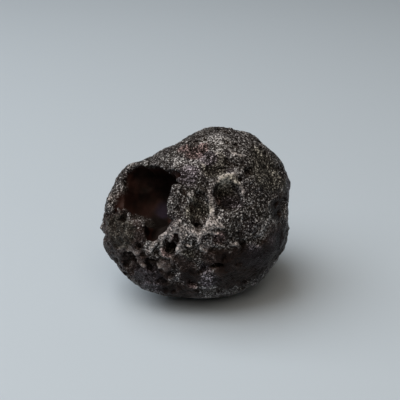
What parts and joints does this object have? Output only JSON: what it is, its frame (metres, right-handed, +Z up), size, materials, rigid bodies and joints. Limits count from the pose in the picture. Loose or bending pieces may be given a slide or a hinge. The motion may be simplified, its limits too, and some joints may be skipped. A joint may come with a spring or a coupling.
{
  "type": "tektite",
  "caption": "Rounded black natural-glass stone with an etched, pitted skin and a deep burst gas bubble in its left lobe, resting on a small flat underneath.",
  "frame": {"origin": "on the surface that the stone rests on, below the middle of its box", "axes": "+Z up, +X to the right along the stone's longest extent, -Y towards the front, where the burst bubble and the front pit are"},
  "size_m": [0.0316, 0.0266, 0.0282],
  "materials": {
    "tektite_glass": "etched matt black glass with pale soil in its pits, smooth and reddish brown inside the burst bubble"
  },
  "bodies": {
    "root": {"tektite": "tektite_glass"}
  },
  "joints": []
}
